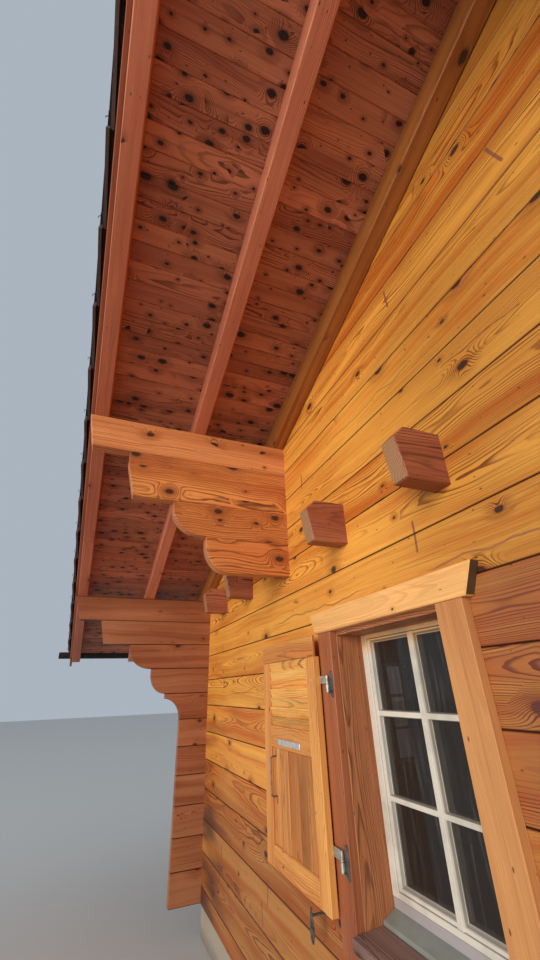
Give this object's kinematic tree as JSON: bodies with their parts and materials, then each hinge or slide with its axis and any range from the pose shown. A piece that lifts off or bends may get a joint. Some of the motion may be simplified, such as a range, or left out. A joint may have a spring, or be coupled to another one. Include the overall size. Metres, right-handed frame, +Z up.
{
  "type": "alpine log chalet",
  "caption": "Single-storey alpine chalet of squared logs on a low plinth, with scrolled corbels, wide tiled eaves with gutters and shuttered windows.",
  "frame": {"origin": "centre of the house's plan, on the ground", "axes": "+Z up, +X to the right along the front gable, -Y out of the front gable; the ridge runs along Y"},
  "size_m": [11.9886, 9.94, 4.3136],
  "materials": {
    "masonry": "rough render",
    "floor_boards": "oiled boards",
    "logs": "oiled larch",
    "inner_panelling": "planed boards",
    "corbel_logs": "oiled larch",
    "purlins": "oiled larch",
    "joists": "oiled larch, darker",
    "rafters": "stained spruce",
    "roof_boards": "stained spruce boards with dark knots",
    "barge_boards": "weathered stained boards",
    "roof_tiles": "weathered concrete tile",
    "casings": "oiled boards",
    "window_linings": "oiled boards",
    "painted_frames": "cream paint",
    "window_glass": "clear",
    "sills": "weathered board",
    "shutters": "oiled boards",
    "fittings": "galvanised",
    "door_boards": "oiled boards"
  },
  "bodies": {
    "house": {"plinth": "masonry", "ground_floor": "floor_boards", "front_wall": "logs", "back_wall": "logs", "left_wall": "logs", "right_wall": "logs", "front_lining": "inner_panelling", "back_lining": "inner_panelling", "left_lining": "inner_panelling", "right_lining": "inner_panelling", "front_corbels": "corbel_logs", "back_corbels": "corbel_logs", "eave_purlins": "purlins", "mid_purlins": "purlins", "ridge_purlin": "purlins", "ceiling_joists": "joists", "left_rafters": "rafters", "right_rafters": "rafters", "left_roof_boards": "roof_boards", "right_roof_boards": "roof_boards", "barge_boards": "barge_boards", "left_roof_tiles": "roof_tiles", "right_roof_tiles": "roof_tiles", "ridge_tiles": "roof_tiles", "front_window_casings": "casings", "front_window_linings": "window_linings", "front_window_frames": "painted_frames", "front_window_glass": "window_glass", "back_window_casings": "casings", "back_window_linings": "window_linings", "back_window_frames": "painted_frames", "back_window_glass": "window_glass", "side_window_casings": "casings", "side_window_linings": "window_linings", "side_window_frames": "painted_frames", "side_window_glass": "window_glass", "window_sills": "sills", "hinge_pins": "fittings", "fixed_shutters": "shutters", "door_frame": "casings", "door_leaf": "door_boards"},
    "shutter": {"shutter_frame": "shutters", "shutter_louvres": "shutters", "shutter_panel": "shutters", "shutter_fittings": "fittings"}
  },
  "joints": [
    {"name": "shutter_swing", "type": "hinge", "parent": "house", "child": "shutter", "pos_m": [-2.156, -3.644, 1.03], "axis": [0, 0, 1], "range_deg": [0, 180]}
  ]
}
